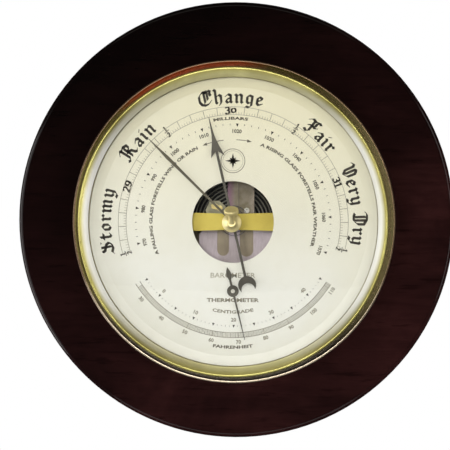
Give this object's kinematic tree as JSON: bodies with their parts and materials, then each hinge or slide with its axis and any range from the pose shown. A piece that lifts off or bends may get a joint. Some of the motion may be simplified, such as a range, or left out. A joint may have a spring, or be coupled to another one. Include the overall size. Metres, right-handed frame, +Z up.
{
  "type": "ship barometer",
  "caption": "Round wall barometer with thermometer: turned wooden base, brass bezel, domed glass, open dial and a working aneroid movement.",
  "frame": {"origin": "centre of the wooden base's back face, which lies on the wall", "axes": "+Z up the dial, +Y into the wall, the dial faces -Y, +X to the viewer's right"},
  "size_m": [0.2066, 0.0539, 0.2066],
  "materials": {
    "mahogany": "dark mahogany under clear gloss lacquer",
    "polished_brass": "polished and lacquered",
    "brass": "plain turned",
    "case_brass": "spun, dull",
    "glass": "clear, ground rim",
    "rubber": "matt",
    "steel": "bright turned",
    "spring_steel": "ground, slightly violet from tempering",
    "blued_steel": "tempered blue",
    "nickel_silver": "pressed sheet, satin",
    "bimetal": "rolled strip, brass face and steel face",
    "dial_paint": "cream enamel, satin",
    "dark_hand": "dark oxide, satin"
  },
  "bodies": {
    "frame": {"wood_base": "mahogany", "hanger_plate": "brass", "hanger_screws": "brass", "case": "case_brass", "case_screws": "brass", "bezel": "polished_brass", "glass": "glass", "glass_gasket": "rubber", "retaining_ring": "steel", "set_bush": "polished_brass", "set_nut": "brass", "dial": "dial_paint", "dial_pillars": "brass", "base_plate": "brass", "movement_screws": "steel", "bridge_bar": "polished_brass", "bridge_pillars": "brass", "bridge_screws": "steel", "lower_cock": "brass", "hairspring_stud": "brass", "hairspring": "blued_steel", "capsule": "nickel_silver", "mainspring": "spring_steel", "spring_clamp": "steel", "clamp_screws": "steel", "rocker_posts": "brass", "thermometer_bracket": "brass", "bimetal_coil": "bimetal"},
    "pointer": {"centre_arbor": "steel", "chain_drum": "brass", "hand_collet": "brass", "barometer_hand": "dark_hand"},
    "chain_line": {"chain": "steel"},
    "rocker": {"rocker_shaft": "steel", "rocker_arm": "brass", "rocker_crank": "brass"},
    "lever": {"lever_arm": "spring_steel", "lever_screws": "steel", "link": "steel"},
    "stud": {"capsule_stud": "steel", "knife_pin": "steel"},
    "set_pointer": {"set_knob": "polished_brass", "set_hand": "dark_hand"},
    "thermometer_pointer": {"thermometer_arbor": "steel", "thermometer_hand": "dark_hand"},
    "adjuster": {"adjusting_screw": "brass"}
  },
  "joints": [
    {"name": "pointer_turn", "type": "hinge", "parent": "frame", "child": "pointer", "pos_m": [0, -0.03, 0], "axis": [0, 1, 0], "range_deg": [-93.1, 122.1], "stiffness_Nm_per_rad": 0.001, "deforming": ["hairspring"]},
    {"name": "chain_run", "type": "slide", "parent": "frame", "child": "chain_line", "axis": [0, 0, -1], "range_m": [-0.00395, 0.00515]},
    {"name": "rocker_turn", "type": "hinge", "parent": "frame", "child": "rocker", "pos_m": [0, -0.013, 0.04], "axis": [1, 0, 0], "range_deg": [-16.3, 21.4]},
    {"name": "lever_turn", "type": "hinge", "parent": "frame", "child": "lever", "pos_m": [0, -0.0143, -0.038], "axis": [-1, 0, 0], "range_deg": [-0.8, 1.05], "deforming": ["mainspring"]},
    {"name": "stud_pull", "type": "slide", "parent": "frame", "child": "stud", "axis": [0, 1, 0], "range_m": [-0.00053, 0.0007], "deforming": ["capsule"]},
    {"name": "set_turn", "type": "hinge", "parent": "frame", "child": "set_pointer", "pos_m": [0, -0.04, 0], "axis": [0, 1, 0], "continuous": true},
    {"name": "thermometer_turn", "type": "hinge", "parent": "frame", "child": "thermometer_pointer", "pos_m": [0, -0.034, -0.0324], "axis": [0, -1, 0], "range_deg": [-107.6, 80.9], "stiffness_Nm_per_rad": 0.0003, "deforming": ["bimetal_coil"]},
    {"name": "adjuster_turn", "type": "hinge", "parent": "frame", "child": "adjuster", "pos_m": [0, -0.004, 0], "axis": [0, 1, 0], "range_deg": [-360, 360]}
  ],
  "couplings": [
    {"joint": "chain_run", "follows": "pointer_turn", "m_per_rad": 0.0024},
    {"joint": "rocker_turn", "follows": "pointer_turn", "ratio": 0.17391},
    {"joint": "lever_turn", "follows": "pointer_turn", "ratio": 0.0084152},
    {"joint": "stud_pull", "follows": "pointer_turn", "m_per_rad": 0.00031978}
  ]
}
